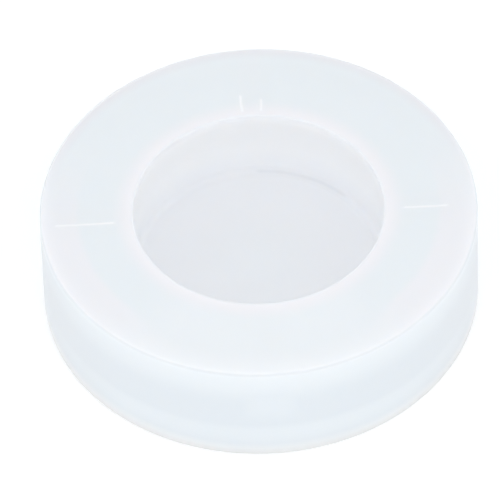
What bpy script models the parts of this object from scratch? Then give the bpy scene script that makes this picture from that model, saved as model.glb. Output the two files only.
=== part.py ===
"""Resin casting mould: one round shell of translucent silicone, lying mouth down.

It casts a shallow round dish. The dish's wall forms in the ring-shaped channel, its bowl forms
round the hollow core, and four ridges across the channel leave notches in the dish's rim.
Metres, +Z up, with the origin at the centre of the mouth's plane, on which the mould lies.
"""

import math

import bmesh
import bpy

# Driving dimensions
OUTER_DIAMETER = 0.103
HEIGHT = 0.0285
OUTER_WALL = 0.004
BASE_PLATE = 0.004
CORE_RECESS_DIAMETER = 0.059
CORE_RECESS_DEPTH = 0.0195
CORE_WALL = 0.0045
CORE_FLOOR = 0.004

# Rounds, named for the corner that they soften
BASE_EDGE_ROUND = 0.0008
RECESS_LIP_ROUND = 0.0003
RECESS_FLOOR_ROUND = 0.0006
MOUTH_OUTER_ROUND = 0.0006
MOUTH_INNER_ROUND = 0.0004
CHANNEL_OUTER_ROUND = 0.005
CHANNEL_INNER_ROUND = 0.0008
CORE_EDGE_ROUND = 0.0012

# Ridges: half-round below, and deeper at the core, so that the dish's notches slope inwards
RIDGE_COUNT = 4
RIDGE_FIRST_ANGLE = math.radians(1.5)
RIDGE_WIDTH = 0.006
RIDGE_DEPTH_AT_CORE = 0.0045
RIDGE_DEPTH_AT_WALL = 0.0025
RIDGE_EMBED = 0.0015
RIDGE_ARC_STEPS = 12

TURNED_STEPS = 96
SMOOTH_BELOW = math.radians(35)

OUTER_RADIUS = OUTER_DIAMETER / 2
RECESS_RADIUS = CORE_RECESS_DIAMETER / 2
CHANNEL_INNER_RADIUS = RECESS_RADIUS + CORE_WALL
CHANNEL_OUTER_RADIUS = OUTER_RADIUS - OUTER_WALL
CHANNEL_CEILING = HEIGHT - BASE_PLATE
RECESS_FLOOR = HEIGHT - CORE_RECESS_DEPTH
CORE_UNDERSIDE = RECESS_FLOOR - CORE_FLOOR


def clear_scene():
    for thing in list(bpy.data.objects):
        bpy.data.objects.remove(thing)


def silicone_material():
    material = bpy.data.materials.new("clear_silicone")
    material.use_nodes = True
    shader = material.node_tree.nodes["Principled BSDF"]
    shader.inputs["Base Color"].default_value = (0.86, 0.90, 0.93, 1)
    shader.inputs["Metallic"].default_value = 0
    shader.inputs["Roughness"].default_value = 0.3
    shader.inputs["IOR"].default_value = 1.41
    return material


def rounded(corner, before, after, radius, steps):
    """Points on the arc that rounds a square corner, between the directions to its two neighbours."""
    r, z = corner
    centre_r = r + (before[0] + after[0]) * radius
    centre_z = z + (before[1] + after[1]) * radius
    points = []
    for step in range(steps + 1):
        turn = math.pi / 2 * step / steps
        points.append(
            (
                centre_r - radius * (after[0] * math.cos(turn) + before[0] * math.sin(turn)),
                centre_z - radius * (after[1] * math.cos(turn) + before[1] * math.sin(turn)),
            )
        )
    return points


def half_section():
    """The (r, z) outline, from the middle of the recess floor round the shell to under the core."""
    inward, outward, up, down = (-1, 0), (1, 0), (0, 1), (0, -1)
    return [
        (0, RECESS_FLOOR),
        *rounded((RECESS_RADIUS, RECESS_FLOOR), inward, up, RECESS_FLOOR_ROUND, 3),
        *rounded((RECESS_RADIUS, HEIGHT), down, outward, RECESS_LIP_ROUND, 2),
        *rounded((OUTER_RADIUS, HEIGHT), inward, down, BASE_EDGE_ROUND, 4),
        *rounded((OUTER_RADIUS, 0), up, inward, MOUTH_OUTER_ROUND, 3),
        *rounded((CHANNEL_OUTER_RADIUS, 0), outward, up, MOUTH_INNER_ROUND, 2),
        *rounded((CHANNEL_OUTER_RADIUS, CHANNEL_CEILING), down, inward, CHANNEL_OUTER_ROUND, 6),
        *rounded((CHANNEL_INNER_RADIUS, CHANNEL_CEILING), outward, down, CHANNEL_INNER_ROUND, 3),
        *rounded((CHANNEL_INNER_RADIUS, CORE_UNDERSIDE), up, inward, CORE_EDGE_ROUND, 4),
        (0, CORE_UNDERSIDE),
    ]


def turned_mesh(name, outline):
    """A closed solid: the outline turned once about Z."""
    work = bmesh.new()
    points = [work.verts.new((radius, 0, height)) for radius, height in outline]
    edges = [work.edges.new(pair) for pair in zip(points, points[1:])]
    bmesh.ops.spin(
        work, geom=points + edges, axis=(0, 0, 1), angle=math.tau, steps=TURNED_STEPS, use_merge=True
    )
    bmesh.ops.remove_doubles(work, verts=work.verts, dist=1e-6)
    bmesh.ops.recalc_face_normals(work, faces=work.faces)
    mesh = bpy.data.meshes.new(name)
    work.to_mesh(mesh)
    work.free()
    return mesh


def ridge_section(depth):
    """(across, height) points: a half-round crest this deep below the ceiling, open into the plate."""
    radius = RIDGE_WIDTH / 2
    centre = CHANNEL_CEILING - depth + radius
    top = CHANNEL_CEILING + RIDGE_EMBED
    points = [(-radius, top)]
    for step in range(RIDGE_ARC_STEPS + 1):
        angle = math.pi + math.pi * step / RIDGE_ARC_STEPS
        points.append((radius * math.cos(angle), centre + radius * math.sin(angle)))
    return [*points, (radius, top)]


def ridge_solid(index):
    """One ridge's body, whose ends lie inside the core's wall and the outer wall."""
    ends = (
        (CHANNEL_INNER_RADIUS - CORE_WALL / 2, RIDGE_DEPTH_AT_CORE),
        (CHANNEL_OUTER_RADIUS + OUTER_WALL / 2, RIDGE_DEPTH_AT_WALL),
    )
    work = bmesh.new()
    rings = []
    for radius, depth in ends:
        rings.append([work.verts.new((radius, across, height)) for across, height in ridge_section(depth)])
        work.faces.new(rings[-1])
    for corner in range(len(rings[0])):
        after = (corner + 1) % len(rings[0])
        work.faces.new((rings[0][corner], rings[0][after], rings[1][after], rings[1][corner]))
    bmesh.ops.recalc_face_normals(work, faces=work.faces)
    mesh = bpy.data.meshes.new("ridge")
    work.to_mesh(mesh)
    work.free()
    ridge = bpy.data.objects.new(f"ridge_{index}", mesh)
    ridge.rotation_euler.z = RIDGE_FIRST_ANGLE + math.tau * index / RIDGE_COUNT
    ridge.hide_render = True
    ridge.display_type = "WIRE"
    bpy.context.scene.collection.objects.link(ridge)
    return ridge


def make_mould_body():
    """The whole mould, moulded in one shot: the shell with its ridges joined on."""
    mesh = turned_mesh("mould_body", half_section())
    mesh.materials.append(silicone_material())
    mesh.shade_smooth()
    mesh.set_sharp_from_angle(angle=SMOOTH_BELOW)
    body = bpy.data.objects.new("mould_body", mesh)
    bpy.context.scene.collection.objects.link(body)
    for index in range(RIDGE_COUNT):
        join = body.modifiers.new(f"ridge_{index}", "BOOLEAN")
        join.operation = "UNION"
        join.solver = "EXACT"
        join.object = ridge_solid(index)
    return body


clear_scene()
make_mould_body()
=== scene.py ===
"""Looks of the resin casting mould: one shell of milky translucent silicone, lying mouth down."""

import math
from collections import namedtuple

import bpy
from mathutils import Matrix, Vector, noise


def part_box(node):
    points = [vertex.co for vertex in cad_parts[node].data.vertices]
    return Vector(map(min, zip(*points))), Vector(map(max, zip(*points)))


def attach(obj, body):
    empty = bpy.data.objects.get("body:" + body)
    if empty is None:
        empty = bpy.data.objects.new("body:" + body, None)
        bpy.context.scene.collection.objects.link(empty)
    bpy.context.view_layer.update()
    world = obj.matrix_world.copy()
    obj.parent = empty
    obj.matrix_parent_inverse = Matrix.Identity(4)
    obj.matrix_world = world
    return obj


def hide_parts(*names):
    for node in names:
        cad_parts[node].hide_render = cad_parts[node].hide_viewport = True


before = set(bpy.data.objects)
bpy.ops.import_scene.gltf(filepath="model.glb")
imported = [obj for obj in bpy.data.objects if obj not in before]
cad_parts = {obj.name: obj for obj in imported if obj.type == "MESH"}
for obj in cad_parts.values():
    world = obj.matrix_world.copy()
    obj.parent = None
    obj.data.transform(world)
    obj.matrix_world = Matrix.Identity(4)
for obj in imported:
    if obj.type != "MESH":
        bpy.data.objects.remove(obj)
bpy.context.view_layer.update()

MM = 0.001

# The shell's outside comes from the CAD box; the rest repeats the design's driving dimensions
body_low, body_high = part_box("mould_body")
OUTER_RADIUS = (body_high[0] - body_low[0]) / 2
HEIGHT = body_high[2] - body_low[2]
OUTER_WALL = 4 * MM
BASE_PLATE = 4 * MM
RECESS_RADIUS = 29.5 * MM
RECESS_DEPTH = 19.5 * MM
CORE_WALL = 4.5 * MM
CORE_FLOOR = 4 * MM
CHANNEL_INNER_RADIUS = RECESS_RADIUS + CORE_WALL
CHANNEL_OUTER_RADIUS = OUTER_RADIUS - OUTER_WALL
CHANNEL_CEILING = HEIGHT - BASE_PLATE
RECESS_FLOOR = HEIGHT - RECESS_DEPTH
CORE_UNDERSIDE = RECESS_FLOOR - CORE_FLOOR

# Rounds, as in the design, but for the recess floor's softer one
BASE_EDGE_ROUND = 0.8 * MM
RECESS_LIP_ROUND = 0.3 * MM
RECESS_FLOOR_ROUND = 2 * MM
MOUTH_OUTER_ROUND = 0.6 * MM
MOUTH_INNER_ROUND = 0.4 * MM
CHANNEL_OUTER_ROUND = 5 * MM
CHANNEL_INNER_ROUND = 0.8 * MM
CORE_EDGE_ROUND = 1.2 * MM

# Ridges across the channel's ceiling, which leave the notches in the cast dish's rim
RIDGE_COUNT = 4
RIDGE_FIRST_ANGLE = math.radians(1.5)
RIDGE_HALF_WIDTH = 3 * MM
RIDGE_DEPTH_AT_CORE = 4.5 * MM
RIDGE_DEPTH_AT_WALL = 2.5 * MM
RIDGE_INNER_END = CHANNEL_INNER_RADIUS - CORE_WALL / 2
RIDGE_OUTER_END = CHANNEL_OUTER_RADIUS + OUTER_WALL / 2
RIDGE_SIDE_STEEPNESS = 8
RIDGE_ROOT_ROUND = 0.5 * MM

# Marks of moulding on the base face: it sinks over the channel, and a few raised hairlines run
# beside the ridges, each given by its ridge, its distance to the ridge's left and its two ends
PLATE_SINK = 0.12 * MM
HAIRLINES = (
    (0, -2 * MM, 34.5 * MM, 44 * MM),
    (1, 2.4 * MM, 31.5 * MM, 36 * MM),
    (1, -2.4 * MM, 31.5 * MM, 34.5 * MM),
    (2, 2 * MM, 34.5 * MM, 47.5 * MM),
)
HAIRLINE_SPREAD = 0.28 * MM
HAIRLINE_RISE = 0.08 * MM
HAIRLINE_FADE = 0.8 * MM

# Soft rubber's unevenness, which dies out towards the flat mouth
WAVINESS = 0.05 * MM
WAVE_LENGTH = 18 * MM
TRUE_BELOW = (0, 4 * MM)

# Columns of vertices run round the body: close together beside a ridge, and parallel to it
RIDGE_ZONE = 5 * MM
RIDGE_ZONE_STEPS = 20
QUARTER_STEPS = 36
OFF_RIDGE = 100 * MM

# The recess's colours, painted shade and light: darkest in the middle of its floor, and whitest
# high on its wall
RECESS_FLOOR_SHADE = (0.823, 0.837, 0.849)
RECESS_CORNER_COLOUR = (0.882, 0.889, 0.902)
RECESS_WALL_COLOUR = (0.884, 0.890, 0.904)
# Painted light high on the recess's wall
RECESS_TOP_LIGHT = (0.985, 0.990, 1.000)
# Painted light in the recess's corner
CORNER_PAINTED_LIGHT = (0.905, 0.911, 0.925)
# A painted shade line along part of the recess's corner
CORNER_SHADE_LINE_COLOUR = (0.842, 0.850, 0.866)

# The base face's colours: darker over the channel, where the rubber is thin, partly as painted
# shade
# Painted shade where the lip rolls over into the recess
LIP_EDGE_SHADE = (0.845, 0.851, 0.870)
LIP_COLOUR = (0.882, 0.872, 0.886)
PLATE_COLOUR = (0.834, 0.866, 0.879)
RIM_COLOUR = (0.870, 0.868, 0.885)
# Painted light on the outer band at the front
FRONT_RIM_LIGHT = (0.869, 0.889, 0.901)
# Painted shade on the face's edge at the back
BACK_EDGE_SHADE = (0.806, 0.805, 0.820)
# Painted shade on the edge round
EDGE_ROUND_SHADE = (0.764, 0.788, 0.804)
# A painted highlight along the raised hairlines
HAIRLINE_HIGHLIGHT = (0.985, 0.990, 1.000)

# The outer wall's colours, painted shade and light: darker at the sides, paler at the top and the
# foot, darkest at the mouth's edge; and the casting faces' one
WALL_TOP_COLOUR = (0.818, 0.849, 0.863)
WALL_COLOUR = (0.762, 0.797, 0.819)
# Painted shade at the wall's sides
WALL_SIDE_SHADE = (0.758, 0.778, 0.792)
# Painted light at the wall's foot, and painted shade at the mouth's edge
WALL_FOOT_LIGHT = (0.854, 0.852, 0.842)
MOUTH_EDGE_SHADE = (0.700, 0.692, 0.675)
INNER_COLOUR = (0.930, 0.950, 0.975)

# Where the recess's colours turn into each other: radii, heights above its floor, and for the
# faint painted shade line in its corner a low end, a high end and how far it fades beyond them
FLOOR_PALES = (0, 22 * MM)
CORNER_RADII = (RECESS_RADIUS - RECESS_FLOOR_ROUND, RECESS_RADIUS)
CORNER_HEIGHTS = (0, RECESS_FLOOR_ROUND)
WALL_WHITENS = (1.5 * MM, RECESS_DEPTH - 4 * MM)
SHADE_LINE_HEIGHTS = (0.4 * MM, 0.7 * MM, 0.2 * MM)
SHADE_LINE_TURNS = (math.radians(46), math.radians(88), math.radians(4))
LIP_ROLLS_OVER = (RECESS_DEPTH - 0.6 * MM, RECESS_DEPTH - 0.2 * MM)

# Where the base face's colours turn into each other: radii, distances from a ridge's middle or
# below the face, and for each PART how far a spot is to the front, from -1 at the back to 1
LIP_EDGE_ENDS = (RECESS_RADIUS + 0.2 * MM, RECESS_RADIUS + 0.8 * MM)
LIP_TO_PLATE = (RECESS_RADIUS + 1 * MM, CHANNEL_INNER_RADIUS + 1 * MM)
RIM_START = 42.5 * MM
RIM_FADE = 1.2 * MM
FRONT_RIM_SHIFT = 2 * MM
FRONT_RIM_FADE = 4.3 * MM
RIM_PART = (-0.6, 0.3)
FRONT_PART = (0.68, 0.9)
FRONT_RIM_PART = (0.6, 0.95)
# How much painted light whitens the channel's ring at the front
FRONT_PAINTED_LIGHT = 0.5
RIDGE_SHOULDER = (2 * MM, 3 * MM)
RIDGE_WHITENESS = 0.15
BACK_PART = (-0.6, 0)
BACK_EDGE = (47.5 * MM, 50.7 * MM)
BASE_TO_EDGE = (0.02 * MM, 0.25 * MM)
EDGE_TO_WALL = (0.4 * MM, 0.8 * MM)

# What shows through the outer wall, painted as whiter bands that are partly the rubber behind and
# partly painted light: heights, with the fade beyond them where there are three values, and how
# white each band is, at the sides first and then at the front and back
FRONT_AND_BACK = (0.2, 0.95)
PLATE_BAND = (CHANNEL_CEILING - 7 * MM, CHANNEL_CEILING + 1 * MM)
PLATE_WHITENESS = (0.4, 1)
CORE_BAND = (6.5 * MM, 8.5 * MM, 2.5 * MM)
CORE_WHITENESS = (0.1, 0.6)
RIDGE_PATCH = (16 * MM, 20 * MM, 5 * MM)
RIDGE_PATCH_SIDE = (2 * MM, 9 * MM)
RIDGE_PATCH_WHITENESS = 0.45
WALL_FOOT = (0, 5 * MM)
MOUTH_EDGE = (0, 1.2 * MM)

# The silicone's noises, each a scale per metre and a detail, and what they do
CLOUDS = (45, 3)
CLOUD_DEPTH = 0.016
SATIN = (160, 4)
SATIN_ROUGHNESS = 0.46
SATIN_VARIATION = 0.16
POLISH_EFFECT = -0.06
PEEL = (700, 3)
PEEL_STRENGTH = 0.12
PEEL_DEPTH = 0.05 * MM

# The room's brightness at the sine of each elevation, and its slightly cool colour
ROOM_LIGHT = ((0.0, 0.90), (0.3, 0.37), (0.6, 1.875), (0.9, 0.43))
ROOM_COLOUR = (0.98, 1.0, 1.03)
FLOOR_GLOW = 0.185

# A column of vertices has its angle at a radius, and how far it is left of the middle of which
# ridge; a spot is one vertex's place in its column, where turn is the angle about Z
Column = namedtuple("Column", "angle_at across ridge")
Spot = namedtuple("Spot", "radius height turn column")


def arc(centre, radius, start, end, steps):
    """Points (r, z) on an arc, angles in degrees from +r towards +z."""
    points = []
    for step in range(steps + 1):
        angle = math.radians(start + (end - start) * step / steps)
        points.append((centre[0] + radius * math.cos(angle), centre[1] + radius * math.sin(angle)))
    return points


def run(start, end, steps):
    """Points (r, z) on a straight run, without its two ends."""
    return [blend(start, end, step / steps) for step in range(1, steps)]


def blend(one, other, share):
    return tuple(between(a, b, share) for a, b in zip(one, other))


def between(low, high, share):
    return low + (high - low) * share


def smooth_step(low, high, value):
    share = min(max((value - low) / (high - low), 0), 1)
    return share * share * (3 - 2 * share)


def bump_between(low, high, fade, value):
    """One between low and high, with soft ends outside them."""
    return smooth_step(low - fade, low, value) * (1 - smooth_step(high, high + fade, value))


def smooth_min(one, other, round_over):
    overlap = max(round_over - abs(one - other), 0) / round_over
    return min(one, other) - overlap * overlap * round_over / 4


def ceiling_height(radius, across):
    """The channel's ceiling, lower where a ridge crosses it, this far across from its middle."""
    share = (radius - RIDGE_INNER_END) / (RIDGE_OUTER_END - RIDGE_INNER_END)
    depth = between(RIDGE_DEPTH_AT_CORE, RIDGE_DEPTH_AT_WALL, share)
    out = abs(across)
    if out < RIDGE_HALF_WIDTH:
        rise = RIDGE_HALF_WIDTH - math.sqrt(RIDGE_HALF_WIDTH**2 - out**2)
    else:
        rise = RIDGE_HALF_WIDTH + (out - RIDGE_HALF_WIDTH) * RIDGE_SIDE_STEEPNESS
    return smooth_min(CHANNEL_CEILING, CHANNEL_CEILING - depth + rise, RIDGE_ROOT_ROUND)


def hairline(radius, column):
    """How much of a hairline is here, where 1 is its middle."""
    found = 0
    for ridge, offset, start, end in HAIRLINES:
        if ridge == column.ridge:
            beside = (column.across - offset) / HAIRLINE_SPREAD
            found += math.exp(-(beside**2)) * bump_between(start, end, HAIRLINE_FADE, radius)
    return found


def base_height(radius, column):
    """The base face round the recess, with its sink and hairlines."""
    share = (radius - CHANNEL_INNER_RADIUS) / (CHANNEL_OUTER_RADIUS - CHANNEL_INNER_RADIUS)
    sink = PLATE_SINK * math.sin(math.pi * min(max(share, 0), 1)) ** 2
    return HEIGHT - sink + HAIRLINE_RISE * hairline(radius, column)


def recess_rows(_column):
    wall = RECESS_RADIUS
    corner = (wall - RECESS_FLOOR_ROUND, RECESS_FLOOR + RECESS_FLOOR_ROUND)
    lip = (wall + RECESS_LIP_ROUND, HEIGHT - RECESS_LIP_ROUND)
    return [
        *run((0, RECESS_FLOOR), (corner[0], RECESS_FLOOR), steps=14),
        *arc(corner, RECESS_FLOOR_ROUND, -90, 0, steps=12),
        *run((wall, corner[1]), (wall, lip[1]), steps=10),
        *arc(lip, RECESS_LIP_ROUND, 180, 90, steps=5),
    ]


def base_rows(column):
    rim = (OUTER_RADIUS - BASE_EDGE_ROUND, HEIGHT - BASE_EDGE_ROUND)
    flat = run((RECESS_RADIUS + RECESS_LIP_ROUND, HEIGHT), (rim[0], HEIGHT), steps=40)
    face = [(radius, base_height(radius, column)) for radius, _ in flat]
    return [*face, *arc(rim, BASE_EDGE_ROUND, 90, 0, steps=9)]


def wall_rows(_column):
    foot = (OUTER_RADIUS - MOUTH_OUTER_ROUND, MOUTH_OUTER_ROUND)
    inner = (CHANNEL_OUTER_RADIUS + MOUTH_INNER_ROUND, MOUTH_INNER_ROUND)
    return [
        *run((OUTER_RADIUS, HEIGHT - BASE_EDGE_ROUND), (OUTER_RADIUS, foot[1]), steps=16),
        *arc(foot, MOUTH_OUTER_ROUND, 0, -90, steps=5),
        *run((foot[0], 0), (inner[0], 0), steps=4),
        *arc(inner, MOUTH_INNER_ROUND, -90, -180, steps=4),
    ]


def channel_rows(column):
    """Up the outer wall's inner side, over the ceiling or the ridge, and down the core."""
    wall, core = CHANNEL_OUTER_RADIUS, CHANNEL_INNER_RADIUS
    wall_top = CHANNEL_CEILING - CHANNEL_OUTER_ROUND
    core_end = CORE_UNDERSIDE + CORE_EDGE_ROUND
    outer_round = ceiling_height(wall, column.across) - wall_top
    inner_round = CHANNEL_INNER_ROUND
    core_top = ceiling_height(core, column.across) - inner_round
    overhead = [
        *arc((wall - outer_round, -outer_round), outer_round, 0, 90, steps=10),
        *run((wall - outer_round, 0), (core + inner_round, 0), steps=12),
        *arc((core + inner_round, -inner_round), inner_round, 90, 180, steps=5),
    ]
    return [
        *run((wall, MOUTH_INNER_ROUND), (wall, wall_top), steps=10),
        *((radius, ceiling_height(radius, column.across) + drop) for radius, drop in overhead),
        *run((core, core_top), (core, core_end), steps=10),
    ]


def core_rows(_column):
    edge = (CHANNEL_INNER_RADIUS - CORE_EDGE_ROUND, CORE_UNDERSIDE + CORE_EDGE_ROUND)
    return [
        *arc(edge, CORE_EDGE_ROUND, 0, -90, steps=7),
        *run((edge[0], CORE_UNDERSIDE), (0, CORE_UNDERSIDE), steps=14),
    ]


def recess_colour(spot):
    """Painted shade and light in the recess: floor, corner with its painted shade line, wall and
    lip.
    """
    above_floor = spot.height - RECESS_FLOOR
    off_floor = smooth_step(*CORNER_HEIGHTS, above_floor)
    # Painted shade: the floor is darkest in its middle and paler towards its corner
    floor = blend(RECESS_FLOOR_SHADE, RECESS_CORNER_COLOUR, smooth_step(*FLOOR_PALES, spot.radius))
    # Painted light: the wall whitens towards the top
    wall = blend(RECESS_WALL_COLOUR, RECESS_TOP_LIGHT, smooth_step(*WALL_WHITENS, above_floor))
    # Painted light brightens the corner
    in_corner = smooth_step(*CORNER_RADII, spot.radius) * (1 - off_floor)
    # A painted shade line low in the corner, on part of the way round
    shade_line = bump_between(*SHADE_LINE_HEIGHTS, above_floor) * bump_between(*SHADE_LINE_TURNS, spot.turn)
    colour = blend(blend(floor, wall, off_floor), CORNER_PAINTED_LIGHT, in_corner)
    colour = blend(colour, CORNER_SHADE_LINE_COLOUR, shade_line)
    # Painted shade where the wall rolls over into the lip
    return blend(colour, LIP_EDGE_SHADE, smooth_step(*LIP_ROLLS_OVER, above_floor))


def base_colour(spot):
    """Whiter over the core's wall, the ridges and the outer wall than over the channel.

    The channel's ring is also whiter at the front as painted light, and the face's edge is darker
    at the back and on its round as painted shade. Over the channel the darkness is partly thin
    rubber and partly painted shade, and the hairlines carry a painted highlight.
    """
    to_front = -math.sin(spot.turn)
    # Painted light: the channel's ring and its outer band are whiter towards the front
    front = smooth_step(*FRONT_PART, to_front)
    start = RIM_START + FRONT_RIM_SHIFT * front
    fade = RIM_FADE + FRONT_RIM_FADE * front
    on_rim = smooth_step(start - fade, start + fade, spot.radius) * smooth_step(*RIM_PART, to_front)
    on_ridge = RIDGE_WHITENESS * (1 - smooth_step(*RIDGE_SHOULDER, abs(spot.column.across)))
    rim = blend(RIM_COLOUR, FRONT_RIM_LIGHT, smooth_step(*FRONT_RIM_PART, to_front))
    plate = blend(PLATE_COLOUR, rim, max(on_rim, on_ridge, FRONT_PAINTED_LIGHT * front))
    # Painted shade at the lip's edge
    lip = blend(LIP_EDGE_SHADE, LIP_COLOUR, smooth_step(*LIP_EDGE_ENDS, spot.radius))
    colour = blend(lip, plate, smooth_step(*LIP_TO_PLATE, spot.radius))
    # Painted shade at the back of the face's edge
    at_back = (1 - smooth_step(*BACK_PART, to_front)) * smooth_step(*BACK_EDGE, spot.radius)
    colour = blend(colour, BACK_EDGE_SHADE, at_back)
    # Painted shade on the edge round, turning into the wall's top
    if spot.radius > OUTER_RADIUS - BASE_EDGE_ROUND:
        below_face = HEIGHT - spot.height
        edge = blend(EDGE_ROUND_SHADE, WALL_TOP_COLOUR, smooth_step(*EDGE_TO_WALL, below_face))
        colour = blend(colour, edge, smooth_step(*BASE_TO_EDGE, below_face))
    # A painted highlight along the hairlines
    return blend(colour, HAIRLINE_HIGHLIGHT, min(hairline(spot.radius, spot.column), 1))


def wall_colour(spot):
    """Whiter where the plate, a ridge or the core's foot lies behind the outer wall, partly painted
    light.
    """
    # Painted shade: the wall is darker at the sides than at the front and back
    facing = smooth_step(*FRONT_AND_BACK, abs(math.sin(spot.turn)))
    plate_behind = between(*PLATE_WHITENESS, facing) * smooth_step(*PLATE_BAND, spot.height)
    core_behind = between(*CORE_WHITENESS, facing) * bump_between(*CORE_BAND, spot.height)
    beside_ridge = 1 - smooth_step(*RIDGE_PATCH_SIDE, abs(spot.column.across))
    ridge_behind = beside_ridge * bump_between(*RIDGE_PATCH, spot.height)
    whiteness = max(plate_behind, core_behind, RIDGE_PATCH_WHITENESS * ridge_behind)
    colour = blend(blend(WALL_SIDE_SHADE, WALL_COLOUR, facing), WALL_TOP_COLOUR, whiteness)
    # Painted light paler towards the foot, and painted shade darkest at the mouth's edge
    colour = blend(WALL_FOOT_LIGHT, colour, smooth_step(*WALL_FOOT, spot.height))
    return blend(MOUTH_EDGE_SHADE, colour, smooth_step(*MOUTH_EDGE, spot.height))


def inner_colour(_spot):
    return INNER_COLOUR


# Each stretch of the outline with its colour, which holds painted light and shade, and its polish,
# from 0 for the satin outside to 1 for a casting face
STRETCHES = (
    (recess_rows, recess_colour, 0.5),
    (base_rows, base_colour, 0.15),
    (wall_rows, wall_colour, 0.0),
    (channel_rows, inner_colour, 1.0),
    (core_rows, inner_colour, 1.0),
)


def beside_ridge(middle, across):
    """The angle at a radius of a column that runs parallel to the ridge's middle."""
    return lambda radius: middle + math.asin(across / max(radius, CHANNEL_INNER_RADIUS))


def between_ridges(middle, share):
    """The angle at a radius of a column this share of the way from one ridge's zone to the next."""

    def angle_at(radius):
        margin = math.asin(RIDGE_ZONE / max(radius, CHANNEL_INNER_RADIUS))
        return middle + margin + (math.tau / RIDGE_COUNT - 2 * margin) * share

    return angle_at


def columns():
    """Every column of vertices, in order round the body."""
    found = []
    for ridge in range(RIDGE_COUNT):
        middle = RIDGE_FIRST_ANGLE + math.tau / RIDGE_COUNT * ridge
        for step in range(-RIDGE_ZONE_STEPS, RIDGE_ZONE_STEPS + 1):
            across = RIDGE_ZONE * step / RIDGE_ZONE_STEPS
            found.append(Column(beside_ridge(middle, across), across, ridge))
        for step in range(1, QUARTER_STEPS):
            found.append(Column(between_ridges(middle, step / QUARTER_STEPS), OFF_RIDGE, ridge))
    return found


def shell_mesh():
    """The whole shell as one closed grid of quads, with a pole at each end of the outline."""
    vertices = [(0, 0, RECESS_FLOOR)]
    colours = [(*RECESS_FLOOR_SHADE, 1)]
    polish = [STRETCHES[0][2]]
    rings = []
    for column in columns():
        ring = []
        for rows, colour_at, shine in STRETCHES:
            for radius, height in rows(column):
                turn = column.angle_at(radius)
                ring.append(len(vertices))
                vertices.append((radius * math.cos(turn), radius * math.sin(turn), height))
                colours.append((*colour_at(Spot(radius, height, turn, column)), 1))
                polish.append(shine)
        rings.append(ring)
    vertices.append((0, 0, CORE_UNDERSIDE))
    colours.append((*INNER_COLOUR, 1))
    polish.append(STRETCHES[-1][2])

    faces = []
    for ring, after in zip(rings, rings[1:] + rings[:1]):
        faces.append((0, ring[0], after[0]))
        for row in range(len(ring) - 1):
            faces.append((ring[row], ring[row + 1], after[row + 1], after[row]))
        faces.append((ring[-1], len(vertices) - 1, after[-1]))
    mesh = bpy.data.meshes.new("mould_shell")
    mesh.from_pydata(vertices, [], faces)
    # Colours with the rubber's tint and its painted light and shade, stored on the mesh
    depth_and_light_colour = mesh.attributes.new("depth_and_light_colour", "FLOAT_COLOR", "POINT")
    depth_and_light_colour.data.foreach_set("color", [part for colour in colours for part in colour])
    mesh.attributes.new("polish", "FLOAT", "POINT").data.foreach_set("value", polish)
    return mesh


def add_waviness(mesh):
    """Soft rubber is never quite true: moves each vertex a little along its normal."""
    moves = []
    for vertex, normal in zip(mesh.vertices, mesh.vertex_normals):
        wave = noise.noise(vertex.co / WAVE_LENGTH)
        moves.append(normal.vector * (wave * WAVINESS * smooth_step(*TRUE_BELOW, vertex.co.z)))
    for vertex, move in zip(mesh.vertices, moves):
        vertex.co += move


def add_node(tree, kind, inputs=None, **settings):
    """A node with its settings, and each input set to a value or linked from a socket."""
    made = tree.nodes.new(kind)
    for name, value in settings.items():
        setattr(made, name, value)
    for name, value in (inputs or {}).items():
        if isinstance(value, bpy.types.NodeSocket):
            tree.links.new(value, made.inputs[name])
        else:
            made.inputs[name].default_value = value
    return made


def set_inputs(shader, **values):
    """Sets inputs that are the same all over, each named with _ for a space."""
    for name, value in values.items():
        shader.inputs[name.replace("_", " ")].default_value = value


def times_plus(tree, value, factor, addend):
    """A socket that holds value times factor, plus addend."""
    inputs = {0: value, 1: factor, 2: addend}
    return add_node(tree, "ShaderNodeMath", inputs, operation="MULTIPLY_ADD").outputs[0]


def noise_at(tree, place, scale, detail):
    inputs = {"Vector": place, "Scale": scale, "Detail": detail}
    return add_node(tree, "ShaderNodeTexNoise", inputs).outputs["Fac"]


def attribute(tree, name, output):
    return add_node(tree, "ShaderNodeAttribute", attribute_name=name).outputs[output]


def silicone_material():
    """Milky silicone, with faint clouds in its colour, an uneven satin sheen and a fine peel."""
    material = bpy.data.materials.new("clear_silicone")
    material.use_nodes = True
    tree = material.node_tree
    shader = tree.nodes["Principled BSDF"]
    place = add_node(tree, "ShaderNodeTexCoord").outputs["Object"]

    clouds = noise_at(tree, place, *CLOUDS)
    cloud = times_plus(tree, clouds, CLOUD_DEPTH, 1 - CLOUD_DEPTH / 2)
    # The mesh's colour holds the rubber's tint together with its painted light and shade
    factors = {0: attribute(tree, "depth_and_light_colour", "Color"), 1: cloud}
    colour = add_node(tree, "ShaderNodeVectorMath", factors, operation="MULTIPLY")
    tree.links.new(colour.outputs[0], shader.inputs["Base Color"])

    satin = times_plus(tree, noise_at(tree, place, *SATIN), SATIN_VARIATION, SATIN_ROUGHNESS)
    roughness = times_plus(tree, attribute(tree, "polish", "Fac"), POLISH_EFFECT, satin)
    tree.links.new(roughness, shader.inputs["Roughness"])

    relief = noise_at(tree, place, *PEEL)
    inputs = {"Strength": PEEL_STRENGTH, "Distance": PEEL_DEPTH, "Height": relief}
    bump = add_node(tree, "ShaderNodeBump", inputs)
    tree.links.new(bump.outputs["Normal"], shader.inputs["Normal"])

    set_inputs(shader, IOR=1.41, Subsurface_Weight=1)
    set_inputs(shader, Subsurface_Radius=(1, 0.95, 0.9), Subsurface_Scale=2.5 * MM)
    return material


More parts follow.
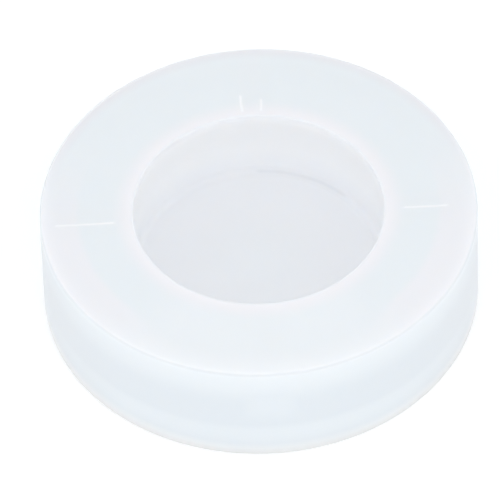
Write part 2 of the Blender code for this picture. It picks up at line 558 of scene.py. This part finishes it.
def make_shell():
    mesh = shell_mesh()
    add_waviness(mesh)
    mesh.materials.append(silicone_material())
    mesh.shade_smooth()
    shell = bpy.data.objects.new("mould_shell", mesh)
    bpy.context.scene.collection.objects.link(shell)
    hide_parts("mould_body")
    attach(shell, "root")


def floor_material():
    """Pale and softly glowing from above, and clear from below."""
    material = bpy.data.materials.new("pale_floor")
    material.use_nodes = True
    tree = material.node_tree
    shader = tree.nodes["Principled BSDF"]
    set_inputs(shader, Base_Color=(0.93, 0.935, 0.94, 1), Roughness=0.9, Specular_IOR_Level=0.2)
    set_inputs(shader, Emission_Color=(1, 1, 1, 1), Emission_Strength=FLOOR_GLOW)
    below = add_node(tree, "ShaderNodeNewGeometry").outputs["Backfacing"]
    clear = add_node(tree, "ShaderNodeBsdfTransparent").outputs[0]
    both = add_node(tree, "ShaderNodeMixShader", {0: below, 1: shader.outputs[0], 2: clear})
    tree.links.new(both.outputs[0], tree.nodes["Material Output"].inputs["Surface"])
    return material


def make_floor():
    """A plain pale floor, seen through from below so that the underside can be looked at."""
    half = 3.0
    gap = 0.05 * MM
    corners = [(-half, -half, 0), (half, -half, 0), (half, half, 0), (-half, half, 0)]
    mesh = bpy.data.meshes.new("floor")
    mesh.from_pydata(corners, [], [(0, 1, 2, 3)])
    mesh.materials.append(floor_material())
    floor = bpy.data.objects.new("floor", mesh)
    floor.location.z = -gap
    bpy.context.scene.collection.objects.link(floor)


def fill_world():
    """A white room that is brightest at a middle height."""
    world = bpy.data.worlds.new("white_room")
    world.use_nodes = True
    tree = world.node_tree
    direction = add_node(tree, "ShaderNodeTexCoord").outputs["Generated"]
    height = add_node(tree, "ShaderNodeSeparateXYZ", {0: direction}).outputs["Z"]
    ramp = add_node(tree, "ShaderNodeValToRGB", {0: height})
    while len(ramp.color_ramp.elements) < len(ROOM_LIGHT):
        ramp.color_ramp.elements.new(1)
    for stop, (position, brightness) in zip(ramp.color_ramp.elements, ROOM_LIGHT):
        stop.position = position
        stop.color = (*(brightness * part for part in ROOM_COLOUR), 1)
    tree.links.new(ramp.outputs["Color"], tree.nodes["Background"].inputs["Color"])
    bpy.context.scene.world = world


def add_front_softbox():
    lamp = bpy.data.lights.new("front_softbox", "AREA")
    lamp.size = 0.2
    lamp.energy = 0.052
    holder = bpy.data.objects.new("front_softbox", lamp)
    holder.location = (0, -0.2, 0.2)
    holder.rotation_euler = (-holder.location).to_track_quat("-Z", "Y").to_euler()
    bpy.context.scene.collection.objects.link(holder)


def set_light_paths():
    """Plain view, and enough bounces for white rubber to light its own hollows."""
    scene = bpy.context.scene
    scene.view_settings.view_transform = "Standard"
    scene.cycles.max_bounces = 24
    scene.cycles.diffuse_bounces = 16
    scene.cycles.glossy_bounces = 16


def make_camera():
    """Looks down at the photograph's angle from far off, slightly rolled."""
    elevation, roll = math.radians(48.6), math.radians(1.95)
    distance = 2.0
    frame_width = 118.07 * MM
    aim_left = 2.333 * MM
    aim_low = 0.19 * MM
    camera = bpy.data.cameras.new("camera")
    camera.sensor_width = 36
    camera.lens = camera.sensor_width * distance / frame_width
    camera.clip_start = 0.01
    back = Vector((0, -math.cos(elevation), math.sin(elevation)))
    up = Vector((0, math.sin(elevation), math.cos(elevation)))
    target = Vector((-aim_left, 0, HEIGHT / 2)) - up * aim_low
    holder = bpy.data.objects.new("camera", camera)
    holder.location = target + back * distance
    turn = (-back).to_track_quat("-Z", "Y").to_matrix() @ Matrix.Rotation(-roll, 3, "Z")
    holder.rotation_euler = turn.to_euler()
    bpy.context.scene.collection.objects.link(holder)
    bpy.context.scene.camera = holder


make_camera()
make_shell()
make_floor()
fill_world()
add_front_softbox()
set_light_paths()
